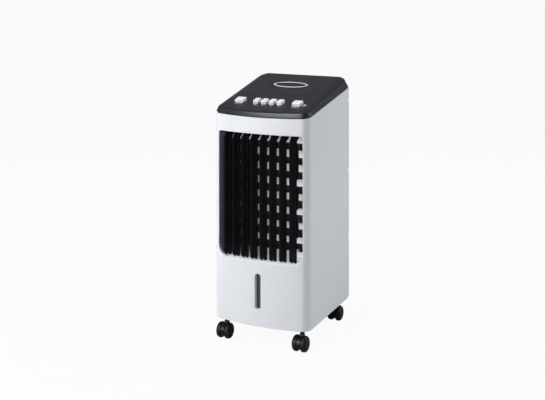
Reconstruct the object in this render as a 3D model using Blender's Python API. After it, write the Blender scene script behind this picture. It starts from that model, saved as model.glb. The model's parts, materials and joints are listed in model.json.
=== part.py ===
"""Portable evaporative room cooler on four castors, built as separate sub-parts.

Every length below is in millimetres until it reaches a mesh or a location, where MM turns it into metres.
The cabinet has its own datum: X = 0 on the centre plane, Y = 0 where the bowed front meets the flat sides,
Z = 0 at the cabinet's lower edge. The datum empty sets that point in the part's frame, whose origin is
the centre of the footprint on the floor.
"""
import math

import bmesh
import bpy
from mathutils import Matrix, Vector

MM = 0.001

# Cabinet
HALF_WIDTH = 117.0
SIDE_DEPTH = 249.3
BOW = 15.0
BOW_RADIUS = (HALF_WIDTH ** 2 + BOW ** 2) / (2 * BOW)
FRONT_CORNER = 22.0
REAR_CORNER, REAR_FOOT_CORNER = 22.0, 6.0
WALL = 2.6
GAP = 0.3
CASTOR_HEIGHT = 48.0
RIM_Z, RIM_SLOPE = 464.3, 0.160
LID_Z, LID_SLOPE = 477.8, 0.2146
LID_TILT = math.atan(LID_SLOPE)

# Front opening and water level slot
OPEN_HALF, OPEN_LOW, OPEN_HIGH = 103.5, 143.5, 425.5
OPEN_TOP_CORNER, OPEN_FOOT_CORNER = 6.0, 25.0
SLOT_HALF, SLOT_LOW, SLOT_HIGH = 7.0, 36.5, 116.4

# Upright vanes, and the bar that joins them
VANE_COUNT, VANE_PITCH, VANE_REST = 8, 23.0, math.radians(-37)
VANE_DEPTH = 17.05
LINK_ARM = 6.5
PIN = 1.5
PIN_HOLE = 1.9

# Level louvres, and the bars that join groups of them
LOUVRE_COUNT, LOUVRE_PITCH, LOUVRE_TOP, LOUVRE_Y = 8, 32.0, 396.2, 31.0
LOUVRE_HALF, LOUVRE_CHORD, LOUVRE_REST = 101.0, 15.0, math.radians(17)
LOUVRE_PIN = 11.0
BAR_X = 80.5
BAR_GROUPS = {"a": (0, 2, 4.0, 4.0), "b": (3, 4, 11.0, 6.0), "c": (5, 6, 4.0, 5.0)}

# Air path
ROTOR_X, ROTOR_Y, ROTOR_RADIUS = -60.0, 128.0, 42.0
FLOOR_Z, CEILING_Z, SHEET = 140.9, 428.0, 2.4
CRANK_X, CRANK_Y, CRANK_RADIUS = 42.0, 82.0, 16.0

# Supply cord outlet in the rear frame
CORD_X, CORD_Z = 97.0, 489.0

# Castors
STEM_X, FRONT_STEM_Y, REAR_STEM_Y = 93.5, 18.5, 209.5
WHEEL_RADIUS, CASTOR_TRAIL, AXLE_DROP = 17.5, 9.0, 30.5
FORK_HALF, FORK_RADIUS, WHEEL_INNER, WHEEL_OUTER = 4.0, 16.3, 4.4, 17.4

# Keys on the lid
KEY_Y, KEY_PITCH, KEY_HALF, KEY_DEPTH_HALF = 45.0, 19.5, 6.75, 10.0
ROCKER_X, ROCKER_HALF = 71.0, 10.5
KEY_RISE, KEY_SINK, ROCKER_PIVOT = 6.8, 7.0, -3.0


def clear_scene():
    for obj in list(bpy.data.objects):
        bpy.data.objects.remove(obj)


def finish(name, colour, roughness, metallic=0.0, alpha=1.0):
    """A Principled material with one colour."""
    material = bpy.data.materials.new(name)
    material.use_nodes = True
    shader = material.node_tree.nodes["Principled BSDF"]
    shader.inputs["Base Color"].default_value = (*colour, 1.0)
    shader.inputs["Roughness"].default_value = roughness
    shader.inputs["Metallic"].default_value = metallic
    shader.inputs["Alpha"].default_value = alpha
    material.diffuse_color = (*colour, 1.0)
    return material


# ---------------------------------------------------------------- outlines

def arc(x, y, radius, start, end, steps):
    """Points of an arc about (x, y), with angles in degrees."""
    angles = [math.radians(start + (end - start) * i / steps) for i in range(steps + 1)]
    return [(x + radius * math.cos(a), y + radius * math.sin(a)) for a in angles]


def front_y(x):
    """The bowed front's Y at x."""
    return BOW_RADIUS - BOW - math.sqrt(BOW_RADIUS ** 2 - x ** 2)


def front_line(inset, corner_steps=5, bow_steps=8):
    """Plan of the front from its right corner to its left one, moved in by inset."""
    bow_centre = BOW_RADIUS - BOW
    corner_x = HALF_WIDTH - FRONT_CORNER
    corner_y = bow_centre - math.sqrt((BOW_RADIUS - FRONT_CORNER) ** 2 - corner_x ** 2)
    lean = math.degrees(math.atan2(corner_y - bow_centre, corner_x))
    right = arc(corner_x, corner_y, FRONT_CORNER - inset, 0, lean, corner_steps)
    bow = arc(0, bow_centre, BOW_RADIUS - inset, lean, -180 - lean, bow_steps)
    left = arc(-corner_x, corner_y, FRONT_CORNER - inset, -180 - lean, -180, corner_steps)
    return right + bow[1:-1] + left


def rounded(x0, x1, y0, y1, low, high, steps=3):
    """Rectangle with low corners of radius low and high corners of radius high."""
    right = arc(x1 - low, y0 + low, low, -90, 0, steps) + arc(x1 - high, y1 - high, high, 0, 90, steps)
    left = arc(x0 + high, y1 - high, high, 90, 180, steps) + arc(x0 + low, y0 + low, low, 180, 270, steps)
    return right + left


def bowed_band(x0, x1, near, far, steps=8):
    """Plan of a strip that follows the bowed front, from near to far behind it."""
    xs = [x0 + (x1 - x0) * i / steps for i in range(steps + 1)]
    return [(x, front_y(x) + near) for x in xs] + [(x, front_y(x) + far) for x in reversed(xs)]


def thick_line(points, thickness):
    """Outline of a wall of even thickness along a path in plan."""
    left, right = [], []
    for i, (x, y) in enumerate(points):
        x0, y0 = points[max(i - 1, 0)]
        x1, y1 = points[min(i + 1, len(points) - 1)]
        length = math.hypot(x1 - x0, y1 - y0)
        nx, ny = (y0 - y1) / length * thickness / 2, (x1 - x0) / length * thickness / 2
        left.append((x + nx, y + ny))
        right.append((x - nx, y - ny))
    return left + right[::-1]


# ---------------------------------------------------------------- solids, as bmeshes

def prism(outline, low, high, axis="Z"):
    """Extrude an outline along an axis; low and high are heights or functions of the outline's point."""
    order = {"X": lambda u, v, h: (h, u, v),
             "Y": lambda u, v, h: (u, h, v),
             "Z": lambda u, v, h: (u, v, h)}[axis]
    bm = bmesh.new()
    rings = []
    for end in (low, high):
        heights = [end(u, v) if callable(end) else end for u, v in outline]
        rings.append([bm.verts.new(Vector(order(u, v, h)) * MM) for (u, v), h in zip(outline, heights)])
    bm.faces.new(rings[0])
    bm.faces.new(rings[1])
    for i in range(len(outline)):
        j = (i + 1) % len(outline)
        bm.faces.new((rings[0][i], rings[0][j], rings[1][j], rings[1][i]))
    bmesh.ops.recalc_face_normals(bm, faces=bm.faces)
    return bm


def box(x0, x1, y0, y1, z0, z1):
    return prism([(x0, y0), (x1, y0), (x1, y1), (x0, y1)], z0, z1)


def stack(rings):
    """Closed solid through rings of points in space, which all have the same number of points."""
    bm = bmesh.new()
    rows = [[bm.verts.new(Vector(p) * MM) for p in ring] for ring in rings]
    bm.faces.new(rows[0])
    bm.faces.new(rows[-1])
    for lower, upper in zip(rows, rows[1:]):
        for i in range(len(lower)):
            j = (i + 1) % len(lower)
            bm.faces.new((lower[i], lower[j], upper[j], upper[i]))
    bmesh.ops.recalc_face_normals(bm, faces=bm.faces)
    return bm


def turned(profile, steps, axis="Z", at=(0, 0, 0), closed=False):
    """Spin a profile of (radius, height) points about an axis through at."""
    bm = bmesh.new()
    verts = [bm.verts.new(Vector((r, 0, h)) * MM) for r, h in profile]
    edges = [bm.edges.new(pair) for pair in zip(verts, verts[1:])]
    if closed:
        edges.append(bm.edges.new((verts[-1], verts[0])))
    bmesh.ops.spin(bm, geom=verts + edges, axis=(0, 0, 1), cent=(0, 0, 0), steps=steps, angle=math.tau,
                   use_merge=True)
    bmesh.ops.remove_doubles(bm, verts=bm.verts, dist=0.000001)
    if axis == "X":
        bmesh.ops.rotate(bm, verts=bm.verts, matrix=Matrix.Rotation(math.pi / 2, 3, "Y"))
    if axis == "Y":
        bmesh.ops.rotate(bm, verts=bm.verts, matrix=Matrix.Rotation(-math.pi / 2, 3, "X"))
    bmesh.ops.translate(bm, verts=bm.verts, vec=Vector(at) * MM)
    bmesh.ops.recalc_face_normals(bm, faces=bm.faces)
    return bm


def cylinder(radius, low, high, steps=12, axis="Z", at=(0, 0, 0)):
    return turned([(0, low), (radius, low), (radius, high), (0, high)], steps, axis, at)


def tube(path, radius, sides=8):
    """Round bar along a path in space, with its rings square to the path."""
    points = [Vector(p) for p in path]
    rings = []
    side = Vector((0, 0, 1))
    for i, point in enumerate(points):
        along = (points[min(i + 1, len(points) - 1)] - points[max(i - 1, 0)]).normalized()
        side = (side - along * side.dot(along)).normalized()
        if side.length < 0.5:
            side = along.orthogonal().normalized()
        up = along.cross(side)
        turn = [math.tau * k / sides for k in range(sides)]
        rings.append([point + (side * math.cos(a) + up * math.sin(a)) * radius for a in turn])
    return stack(rings)


def rounded_path(points, radius, steps=3):
    """Path in space with each inner corner replaced by a short curve that starts radius away."""
    points = [Vector(p) for p in points]
    path = [points[0]]
    for before, corner, after in zip(points, points[1:], points[2:]):
        a = corner + (before - corner).normalized() * radius
        b = corner + (after - corner).normalized() * radius
        for i in range(steps + 1):
            t = i / steps
            path.append(a * (1 - t) ** 2 + corner * 2 * t * (1 - t) + b * t ** 2)
    return path + [points[-1]]


def together(solids):
    """Several solids that stay apart, in one bmesh."""
    whole = bmesh.new()
    for solid in solids:
        part = bpy.data.meshes.new("part")
        solid.to_mesh(part)
        solid.free()
        whole.from_mesh(part)
        bpy.data.meshes.remove(part)
    return whole


def moved(solid, matrix):
    bmesh.ops.transform(solid, matrix=matrix, verts=solid.verts)
    return solid


def meshed(body, join=(), cut=()):
    """Mesh of the body with each solid in join united to it and then each one in cut taken away."""
    helpers = []
    for solid in (body, *join, *cut):
        mesh = bpy.data.meshes.new("solid")
        solid.to_mesh(mesh)
        solid.free()
        helper = bpy.data.objects.new("solid", mesh)
        bpy.context.scene.collection.objects.link(helper)
        helpers.append(helper)
    shell = helpers[0]
    for i, helper in enumerate(helpers[1:]):
        step = shell.modifiers.new("step", "BOOLEAN")
        step.operation = "UNION" if i < len(join) else "DIFFERENCE"
        step.solver = "EXACT"
        step.object = helper
    bpy.context.view_layer.update()
    mesh = bpy.data.meshes.new_from_object(shell.evaluated_get(bpy.context.evaluated_depsgraph_get()))
    for helper in helpers:
        spare = helper.data
        bpy.data.objects.remove(helper)
        bpy.data.meshes.remove(spare)
    mesh.shade_smooth()
    mesh.set_sharp_from_angle(angle=math.radians(35))
    return mesh


def add(name, mesh, material, at=(0, 0, 0), turn=(0, 0, 0), parent=None):
    """Place a mesh as one named sub-part, from its parent's origin or the cabinet datum."""
    obj = bpy.data.objects.new(name, mesh)
    bpy.context.scene.collection.objects.link(obj)
    if not mesh.materials:
        mesh.materials.append(material)
    obj.parent = parent or bpy.data.objects["cabinet_datum"]
    obj.location = Vector(at) * MM
    obj.rotation_euler = turn
    return obj


def rim(x, y):
    return RIM_Z + RIM_SLOPE * y


def lid_top(x, y):
    return LID_Z + LID_SLOPE * y


def on_lid(x, y):
    """Matrix of a frame on the lid's top with Z square to it, in metres."""
    return Matrix.Translation(Vector((x, y, lid_top(x, y))) * MM) @ Matrix.Rotation(LID_TILT, 4, "X")


# ---------------------------------------------------------------- cabinet

def build_casing(material):
    outer = [(HALF_WIDTH, SIDE_DEPTH)] + front_line(0) + [(-HALF_WIDTH, SIDE_DEPTH)]
    inner = [(HALF_WIDTH - WALL, SIDE_DEPTH)] + front_line(WALL) + [(WALL - HALF_WIDTH, SIDE_DEPTH)]
    wall = prism(outer + inner[::-1], 0, rim)
    window = rounded(-OPEN_HALF, OPEN_HALF, OPEN_LOW, OPEN_HIGH, OPEN_FOOT_CORNER, OPEN_TOP_CORNER)
    slot = rounded(-SLOT_HALF, SLOT_HALF, SLOT_LOW, SLOT_HIGH, SLOT_HALF - 0.1, SLOT_HALF - 0.1, 4)
    openings = [prism(window, -20, 8, "Y"), prism(slot, -20, 8, "Y")]
    corner = [(SIDE_DEPTH - 12, -1), (SIDE_DEPTH + 1, -1), (SIDE_DEPTH + 1, 12)]
    corner += arc(SIDE_DEPTH - 12, 12, 12, 0, -90, 4)
    openings.append(prism(corner, -130, 130, "X"))
    notches = [box(-130, 130, SIDE_DEPTH - 3.5, SIDE_DEPTH + 2, z - 5, z + 5) for z in (149.2, 306.5, 473.5)]
    add("casing", meshed(wall, cut=(together(openings), together(notches))), material)


def build_base(material):
    inset = WALL + 0.4
    back = SIDE_DEPTH - 7.6
    plan = [(HALF_WIDTH - inset, back)] + front_line(inset) + [(inset - HALF_WIDTH, back)]
    floor = prism(plan, 1.0, 4.0)
    plateau = box(-66, 66, 62, 186, -1.0, 2.0)
    rails = [box(s * 60 - 2, s * 60 + 2, 14, 238, 3.0, 18.4) for s in (-1, 1)]
    stems = [(s * STEM_X, y) for s in (-1, 1) for y in (FRONT_STEM_Y, REAR_STEM_Y)]
    bosses = [cylinder(8.5, 3.0, 17.0, 12, at=(x, y, 0)) for x, y in stems]
    sockets = [cylinder(4.6, 0.0, 13.0, 12, at=(x, y, 0)) for x, y in stems]
    mesh = meshed(floor, join=(plateau, together(rails), together(bosses)), cut=(together(sockets),))
    add("base", mesh, material)


def build_rear(frame_material, mesh_material):
    """Rear frame, the air filter that clips over it, and the cooling pad behind both."""
    plate = prism([(-113.8, 236), (113.8, 236), (113.8, 241.5), (-113.8, 241.5)], 139.2,
                  lambda x, y: rim(x, y) - 1.0)
    ledge = box(-113.4, 113.4, 241.0, 245.3, 139.2, 150.0)
    window = box(-97, 97, 230, 250, 158, 466)
    pivot = cylinder(2.4, 240.5, 246, 8, "Y", at=(0, 0, 144.7))
    outlet = cylinder(3.4, 230, 246, 8, "Y", at=(CORD_X, 0, CORD_Z))
    add("rear_frame", meshed(plate, join=(ledge,), cut=(window, pivot, outlet)), frame_material)

    frame = box(-113.4, 113.4, 244.0, 248.8, 150.5, 478)
    panes = [box(x0, x0 + 100.7, 240, 252, z0, z0 + 151) for x0 in (-103.7, 3.0) for z0 in (160.3, 317.2)]
    add("filter_frame", meshed(frame, cut=(together(panes),)), frame_material)
    add("filter_mesh", meshed(box(-107, 107, 242.2, 243.5, 157, 471.5)), mesh_material)


def build_tank(tank_material, trim_material, pump_material):
    body = box(-103, 103, 6, 242.6, 19, 136)
    face = box(-113.2, 113.2, 242, 248.8, 3.5, 138)
    water = box(-100.6, 100.6, 8.4, 239.6, 21.4, 150)
    grip = box(-42, 42, 244.6, 252, 56, 88)
    latch_seat = box(-6.5, 24.5, 245.4, 252, 120, 150)
    add("water_tank", meshed(body, join=(face,), cut=(water, grip, latch_seat)), tank_material)

    pump = box(52, 96, 192, 236, 22.0, 66)
    riser = cylinder(4.0, 60, 137.5, 8, at=(88, 214, 0))
    add("water_pump", meshed(pump, join=(riser,)), pump_material)

    tail = rounded(-5.2, 21, -3.6, 3.6, 3.5, 3.5, 2)
    spindle = cylinder(2.0, -6.5, -2.0, 8, "Y")
    latch = meshed(prism(tail, -2.9, 0.0, "Y"), join=(spindle,))
    add("tank_latch", latch, trim_material, at=(0, 248.8, 144.7))


def build_lid(lid_material, ring_material):
    def ring(inset, height, rear):
        front = front_line(min(inset, FRONT_CORNER - 1))
        half, back = HALF_WIDTH - inset, SIDE_DEPTH - inset
        left = arc(rear - half, back - rear, rear, 180, 90, 4)
        right = arc(half - rear, back - rear, rear, 90, 0, 4)
        return [(x, y, height(x, y)) for x, y in front + left + right]

    outer = stack([ring(0.2, lambda x, y: rim(x, y) + 1.5, REAR_FOOT_CORNER),
                   ring(0, lambda x, y: lid_top(x, y) - 5, REAR_CORNER),
                   ring(5.5, lid_top, REAR_CORNER - 5.5)])
    inner = stack([ring(3.2, lambda x, y: rim(x, y) - 3, REAR_FOOT_CORNER - 3.2),
                   ring(3.2, lambda x, y: lid_top(x, y) - 7, REAR_CORNER - 3.2),
                   ring(8.0, lambda x, y: lid_top(x, y) - 3.2, REAR_CORNER - 8)])
    holes = [moved(box(-KEY_HALF - 0.6, KEY_HALF + 0.6, -10.8, 10.8, -12, 6), on_lid(x, KEY_Y))
             for x in key_places()]
    holes += [moved(box(-ROCKER_HALF - 0.7, ROCKER_HALF + 0.7, -11.2, 11.2, -12, 6), on_lid(x, KEY_Y))
              for x in (-ROCKER_X, ROCKER_X)]
    add("top_cover", meshed(outer, cut=(inner, together(holes))), lid_material)

    def oval(a, b, low, high):
        return prism([(a * math.cos(t), b * math.sin(t)) for t in (math.tau * i / 28 for i in range(28))],
                     low, high)

    badge = meshed(oval(44.0, 19.7, GAP, 1.5), cut=(oval(39.2, 13.5, -1, 3),))
    add("badge_ring", badge, ring_material, at=(0, 167, lid_top(0, 167)), turn=(LID_TILT, 0, 0))


def key_places():
    return [(i - 1.5) * KEY_PITCH for i in range(4)]


def key_body(half):
    """Key standing on the lid's plane, with a narrower top."""
    rings = []
    for side, z in ((0.0, -KEY_SINK), (0.0, KEY_RISE - 2.0), (1.2, KEY_RISE)):
        rings.append([(x, y, z) for x, y in rounded(side - half, half - side, side - KEY_DEPTH_HALF,
                                                    KEY_DEPTH_HALF - side, 2.5, 2.5, 2)])
    return stack(rings)


def build_controls(key_material, block_material):
    small, large = meshed(key_body(KEY_HALF)), meshed(moved(key_body(ROCKER_HALF),
                                                            Matrix.Translation((0, 0, -ROCKER_PIVOT * MM))))
    for i, x in enumerate(key_places()):
        add(f"key_{i + 1}", small, key_material, at=(x, KEY_Y, lid_top(x, KEY_Y)), turn=(LID_TILT, 0, 0))
    pivot = Matrix.Rotation(LID_TILT, 3, "X") @ Vector((0, 0, ROCKER_PIVOT))
    for name, x in (("rocker_left", -ROCKER_X), ("rocker_right", ROCKER_X)):
        at = Vector((x, KEY_Y, lid_top(x, KEY_Y))) + pivot
        add(name, large, key_material, at=at, turn=(LID_TILT, 0, 0))
    block = meshed(box(-88, 88, -13, 13, -28, -13))
    add("switch_block", block, block_material, at=(0, KEY_Y, lid_top(0, KEY_Y)), turn=(LID_TILT, 0, 0))


def build_level_window(material):
    """Clear strip at the back of a recessed slot, with the slot's side walls."""
    def stadium(grow):
        return rounded(-SLOT_HALF - grow, SLOT_HALF + grow, SLOT_LOW - grow, SLOT_HIGH + grow,
                       SLOT_HALF + grow - 0.1, SLOT_HALF + grow - 0.1, 4)

    cup = prism(stadium(2.0), -12.0, -2.0, "Y")
    add("level_window", meshed(cup, cut=(prism(stadium(0.0), -14, -4.0, "Y"),)), material)


# ---------------------------------------------------------------- vanes and louvres

def vane_places():
    first = -VANE_PITCH * (VANE_COUNT - 1) / 2
    return [(first + VANE_PITCH * i, front_y(first + VANE_PITCH * i) + VANE_DEPTH) for i in range(VANE_COUNT)]


def tab_shift():
    """From a vane's pivot to its link pin, at rest."""
    return -math.sin(VANE_REST) * LINK_ARM, math.cos(VANE_REST) * LINK_ARM


def build_vanes(material):
    foot = FLOOR_Z + SHEET + 0.9
    outline = [(-15, 149), (-8, foot), (2.5, foot), (2.5, 411), (9, 418), (9, 434),
               (-3, 434), (-9, 425), (-15, 410)]
    pins = [cylinder(PIN, 141.3, 147, 8), cylinder(PIN, 433, 443, 8),
            cylinder(1.2, 433, 437.4, 8, at=(0, LINK_ARM, 0))]
    vane = meshed(prism(outline, -1.0, 1.0, "X"), join=(together(pins),))
    for i, (x, y) in enumerate(vane_places()):
        add(f"vane_{i + 1}", vane, material, at=(x, y, 0), turn=(0, 0, VANE_REST))


def build_vane_drive(bar_material, motor_material):
    """Bar that joins the vanes, the crank that moves it, and the geared motor that turns the crank."""
    dx, dy = tab_shift()
    master_x, master_y = vane_places()[0]
    pin_x, pin_y = master_x + dx, master_y + dy
    end = -master_x + 4
    band = prism([(x + dx, y + dy) for x, y in bowed_band(-end, end, VANE_DEPTH - 2.6, VANE_DEPTH + 2.6)],
                 434.5, 437)
    tongue = box(CRANK_X + dx - 4, CRANK_X + dx + 4, 12, CRANK_Y + dy + 5, 434.5, 437)
    holes = [cylinder(1.6, 430, 440, 8, at=(x + dx, y + dy, 0)) for x, y in vane_places()]
    holes.append(cylinder(1.6, 430, 440, 8, at=(CRANK_X + dx, CRANK_Y + dy, 0)))
    link = meshed(moved(band, Matrix.Translation(Vector((-pin_x, -pin_y, 0)) * MM)),
                  join=(moved(tongue, Matrix.Translation(Vector((-pin_x, -pin_y, 0)) * MM)),),
                  cut=(moved(together(holes), Matrix.Translation(Vector((-pin_x, -pin_y, 0)) * MM)),))
    add("vane_link", link, bar_material, at=(pin_x, pin_y, 0))

    disc = cylinder(CRANK_RADIUS, 437.6, 440.2, 20)
    posts = [cylinder(2.5, 439, 449, 8), cylinder(1.2, 434.8, 438.5, 8, at=(0, LINK_ARM, 0))]
    crank = meshed(disc, join=(together(posts),))
    add("swing_crank", crank, motor_material, at=(CRANK_X, CRANK_Y, 0), turn=(0, 0, VANE_REST))

    can = cylinder(25, 443, 459, 20)
    legs = [box(s * 21 - 3, s * 21 + 3, -3, 3, CEILING_Z + SHEET + GAP, 445) for s in (-1, 1)]
    motor = meshed(can, join=(together(legs),), cut=(cylinder(3.1, 440, 450, 8),))
    add("swing_motor", motor, motor_material, at=(CRANK_X, CRANK_Y, 0))


def build_louvre_frame(material):
    """Side cheeks that carry the louvres' pins, with a top rail that carries the vanes' upper pins."""
    rail = prism(bowed_band(-105.8, 105.8, 12.5, 31.0), 440.6, 443.6)
    left = box(-105.8, -103.4, 1.5, 92, FLOOR_Z + SHEET + GAP, 426.5)
    right = box(103.4, 105.8, 1.5, 47, FLOOR_Z + SHEET + GAP, 426.5)
    posts = [box(s * 104.6 - 1.2, s * 104.6 + 1.2, 10.5, 23.5, 426.0, 441.0) for s in (-1, 1)]
    vane_holes = [cylinder(PIN_HOLE, 439, 446, 8, at=(x, y, 0)) for x, y in vane_places()]
    louvre_holes = [cylinder(PIN_HOLE, -110, 110, 8, "X", at=(0, LOUVRE_Y, z)) for z in louvre_heights()]
    holes = (together(vane_holes), together(louvre_holes))
    add("louvre_frame", meshed(rail, join=(left, right, together(posts)), cut=holes), material)


def louvre_heights():
    return [LOUVRE_TOP - LOUVRE_PITCH * i for i in range(LOUVRE_COUNT)]


def louvre_pin():
    """From a louvre's pivot to its bar pin, at rest, as (y, z)."""
    return -LOUVRE_PIN * math.cos(LOUVRE_REST), -LOUVRE_PIN * math.sin(LOUVRE_REST)


def build_louvres(material):
    section = [(-LOUVRE_CHORD, -0.4), (-4, -1.0), (4, -1.0), (LOUVRE_CHORD, -0.4),
               (LOUVRE_CHORD, 0.4), (4, 1.0), (-4, 1.0), (-LOUVRE_CHORD, 0.4)]
    blade = prism(section, -LOUVRE_HALF, LOUVRE_HALF, "X")
    notch = box(BAR_X - 3.5, BAR_X + 3.5, -20, -4.6, -5, 5)
    ends = [cylinder(PIN, LOUVRE_HALF - 3, LOUVRE_HALF + 3.9, 8, "X"),
            cylinder(PIN, -LOUVRE_HALF - 3.9, 3 - LOUVRE_HALF, 8, "X")]
    bar_pin = cylinder(0.9, BAR_X - 6, BAR_X + 6, 8, "X", at=(0, -LOUVRE_PIN, 0))
    louvre = meshed(blade, join=(together(ends),), cut=(notch,))
    joined = bmesh.new()
    joined.from_mesh(louvre)
    pinned = meshed(joined, join=(bar_pin,))
    for i, z in enumerate(louvre_heights()):
        mesh = louvre if i == LOUVRE_COUNT - 1 else pinned
        add(f"louvre_{i + 1}", mesh, material, at=(0, LOUVRE_Y, z), turn=(LOUVRE_REST, 0, 0))

    pin_y, pin_z = louvre_pin()
    for name, (first, last, above, below) in BAR_GROUPS.items():
        span = (last - first) * LOUVRE_PITCH
        bar = prism(rounded(-3.4, 3.4, -span - below, above, 3.0, 3.0, 3), -2.0, 2.0, "X")
        holes = [cylinder(1.4, -4, 4, 8, "X", at=(0, 0, -LOUVRE_PITCH * k)) for k in range(last - first + 1)]
        at = (BAR_X, LOUVRE_Y + pin_y, louvre_heights()[first] + pin_z)
        add(f"louvre_link_{name}", meshed(bar, cut=(together(holes),)), material, at=at)


# ---------------------------------------------------------------- air path and water

def build_air_path(duct_material, motor_material, rotor_material, metal_material):
    front = [(x, front_y(x) + 4.0) for x in range(-95, 96, 19)]
    floor = prism(front + [(109, 14), (109, 196), (-109, 196), (-109, 14)], FLOOR_Z, FLOOR_Z + SHEET)
    ceiling = box(-109, 109, 26, 196, CEILING_Z, CEILING_Z + SHEET)
    header = box(-103, 103, 50, 52.4, 399, CEILING_Z + 1)
    sweep = [(102.0, 51.5), (70, 54.5), (30, 60), (-10, 68), (-40, 76.5), (-51, 81)]
    sweep = prism(thick_line(sweep, SHEET), FLOOR_Z + 1, CEILING_Z + 1)
    volute = [(-106.8, 94)] + arc(ROTOR_X, ROTOR_Y, 46.8, 180, 100, 6)
    volute = prism(thick_line(volute, SHEET), FLOOR_Z + 1, CEILING_Z + 1)
    holes = [cylinder(PIN_HOLE, 138, 146, 8, at=(x, y, 0)) for x, y in vane_places()]
    shaft_hole = cylinder(6.0, 425, 434, 10, at=(ROTOR_X, ROTOR_Y, 0))
    duct = meshed(floor, join=(volute, sweep, header, ceiling), cut=(together(holes), shaft_hole))
    add("air_duct", duct, duct_material)

    blade_count, inner = 18, ROTOR_RADIUS - 9
    discs = [turned([(0, z), (ROTOR_RADIUS, z), (ROTOR_RADIUS, z + 2.5), (0, z + 2.5)], blade_count)
             for z in (152.0, 287.0, 422.0)]
    blades = [moved(box(inner, ROTOR_RADIUS - 1, -0.8, 0.8, 153.5, 423.0),
                    Matrix.Rotation(math.tau * (i + 0.5) / blade_count, 4, "Z")) for i in range(blade_count)]
    shafts = [cylinder(3.0, 144.2, 153.0, 8), cylinder(3.0, 423.5, 440.0, 8)]
    rotor = meshed(together(discs), join=(together(blades), together(shafts)))
    add("blower_rotor", rotor, rotor_material, at=(ROTOR_X, ROTOR_Y, 0))

    can = turned([(0, 431), (38, 431), (38, 455), (22, 464), (0, 464)], 20)
    motor = meshed(can, cut=(cylinder(4.0, 428, 444, 8),))
    add("fan_motor", motor, motor_material, at=(ROTOR_X, ROTOR_Y, 0))
    bush = turned([(3.5, 143.6), (9, 143.6), (9, 147), (7, 149.6), (3.5, 149.6)], 12, closed=True)
    add("rotor_bearing", meshed(bush), metal_material, at=(ROTOR_X, ROTOR_Y, 0))


def build_water(pad_material, tray_material, hose_material):
    add("cooling_pad", meshed(box(-97, 97, 200, 228, 152, 446)), pad_material)
    trough = box(-97, 97, 201, 227, 449, 466)
    trickle = [cylinder(1.5, 447, 453, 6, at=(x, 214, 0)) for x in range(-84, 85, 24)]
    tray = meshed(trough, cut=(box(-95, 95, 203, 225, 451, 470), together(trickle)))
    add("water_distributor", tray, tray_material)
    path = [(88, 214, 138.2), (88, 214, 145), (107, 214, 151),
            (107, 214, 474), (86, 214, 474), (86, 214, 462)]
    add("water_hose", meshed(tube(rounded_path(path, 3.0), 3.6, 6)), hose_material)


def build_cord(material):
    """Supply cord folded into one hank in the recess under the lid, with its plug."""
    flat, top, foot, inner = 245.6, 498.6, 482.4, 492.6
    run = [(CORD_X, 231, CORD_Z), (CORD_X, flat, CORD_Z), (88, flat, top), (-76, flat, top),
           (-86, flat, (top + foot) / 2), (-76, flat, foot), (66, flat, foot),
           (74, flat, (foot + inner) / 2), (66, flat, inner), (-44, flat, inner)]
    plug = prism(rounded(-66, -36, 486.0, 495.0, 3, 3, 2), 242.2, 248.6, "Y")
    prongs = [cylinder(1.6, -75, -65, 6, "X", at=(0, flat, z)) for z in (488.2, 492.8)]
    add("power_cord", meshed(tube(rounded_path(run, 3.5), 2.6, 6), join=(plug, together(prongs))), material)


def build_screws(material):
    screw = meshed(turned([(0, 0), (1.2, 0), (3.2, 0), (3.2, -1.0), (2.4, -1.8), (0, -1.8)], 10, "Y"))
    for name, side in (("rear_screw_left", -1), ("rear_screw_right", 1)):
        add(name, screw, material, at=(side * 106, 243.6, 488))


# ---------------------------------------------------------------- castors

def build_castors(fork_material, wheel_material):
    """Twin wheel castors: each fork turns on its stem, and its wheels turn on its axle."""
    def around(radius, start, end, steps):
        return arc(-CASTOR_TRAIL, -AXLE_DROP, radius, start, end, steps)

    plate = prism(around(FORK_RADIUS, -35, 215, 18) + around(6.5, 225, 315, 4), -FORK_HALF, FORK_HALF, "X")
    saddle = prism([(4.8, -11.5), (-6.0, -11.5), (-8.5, -15.5), (-8.5, -21), (3.5, -23), (5.5, -19.5)],
                   -FORK_HALF, FORK_HALF, "X")
    stem = turned([(0, -12.8), (5.0, -12.8), (4.6, -8.0), (5.0, -4.5), (6.6, -2.2), (6.6, -1.2), (4.0, -1.2),
                   (4.0, 11.5), (0, 11.5)], 12)
    axle_hole = cylinder(3.7, -6, 6, 10, "X", at=(0, -CASTOR_TRAIL, -AXLE_DROP))
    fork_mesh = meshed(plate, join=(saddle, stem), cut=(axle_hole,))
    r = WHEEL_RADIUS
    half = [(0, WHEEL_OUTER), (r - 11, WHEEL_OUTER), (r - 4, WHEEL_OUTER - 1.6), (r - 0.9, WHEEL_OUTER - 4.2),
            (r, WHEEL_OUTER - 6.4), (r, WHEEL_INNER + 2.0), (r - 1.4, WHEEL_INNER), (3.0, WHEEL_INNER)]
    profile = [(a, -b) for a, b in half] + [(a, b) for a, b in reversed(half)]
    wheel_mesh = meshed(turned(profile, 18, "X"))
    corners = {"fl": (-STEM_X, FRONT_STEM_Y, 0), "fr": (STEM_X, FRONT_STEM_Y, 0),
               "rl": (-STEM_X, REAR_STEM_Y, math.pi), "rr": (STEM_X, REAR_STEM_Y, math.pi)}
    for corner, (x, y, turn) in corners.items():
        fork = add(f"castor_{corner}_fork", fork_mesh, fork_material, at=(x, y, 0), turn=(0, 0, turn))
        add(f"castor_{corner}_wheels", wheel_mesh, wheel_material, at=(0, -CASTOR_TRAIL, -AXLE_DROP),
            parent=fork)


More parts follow.
